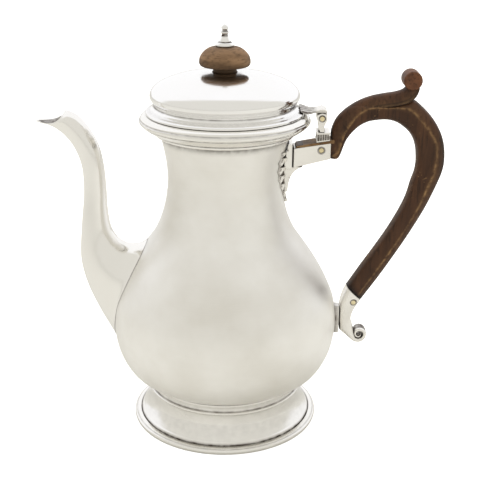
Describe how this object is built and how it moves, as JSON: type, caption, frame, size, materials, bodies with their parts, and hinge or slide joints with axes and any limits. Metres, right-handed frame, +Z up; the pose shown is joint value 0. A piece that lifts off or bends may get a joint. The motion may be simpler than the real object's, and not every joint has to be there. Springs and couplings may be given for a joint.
{
  "type": "silver coffee pot",
  "caption": "Baluster coffee pot on a spool foot, with a curved open-lipped spout, a hinged domed lid with a turned wooden knob, and a wooden scroll handle held in two cast sockets.",
  "frame": {"origin": "middle of the base of the whole object's box, on the surface that the foot stands on; the pot's own axis is 9.4 mm towards the spout from it", "axes": "+Z up along the pot's axis, +X towards the handle, spout towards -X"},
  "size_m": [0.2348, 0.134, 0.24],
  "materials": {
    "silver": "polished silver, lightly rubbed",
    "brass": "worn",
    "handle_wood": "dark fruitwood, worn paler along its ridge",
    "knob_wood": "mid-brown turned wood, dry and speckled"
  },
  "bodies": {
    "pot": {"body": "silver", "foot": "silver", "foot_collar": "silver", "foot_rim": "silver", "handle": "handle_wood", "hinge_block": "silver", "hinge_fork": "silver", "hinge_pin": "brass", "lower_handle_pin": "brass", "lower_socket": "silver", "lower_socket_pad": "silver", "mouth_moulding": "silver", "socket_bracket": "silver", "socket_drop": "silver", "spout": "silver", "upper_handle_pin": "brass", "upper_socket": "silver"},
    "lid": {"finial_screw": "silver", "hinge_leaf": "silver", "knob": "knob_wood", "knob_nut": "brass", "knob_washer": "brass", "lid_bezel": "silver", "lid_dome": "silver", "lid_flange": "silver"}
  },
  "joints": [
    {"name": "lid_hinge", "type": "hinge", "parent": "pot", "child": "lid", "pos_m": [0.0458, 0, 0.188], "axis": [0, 1, 0], "range_deg": [0, 95]}
  ]
}
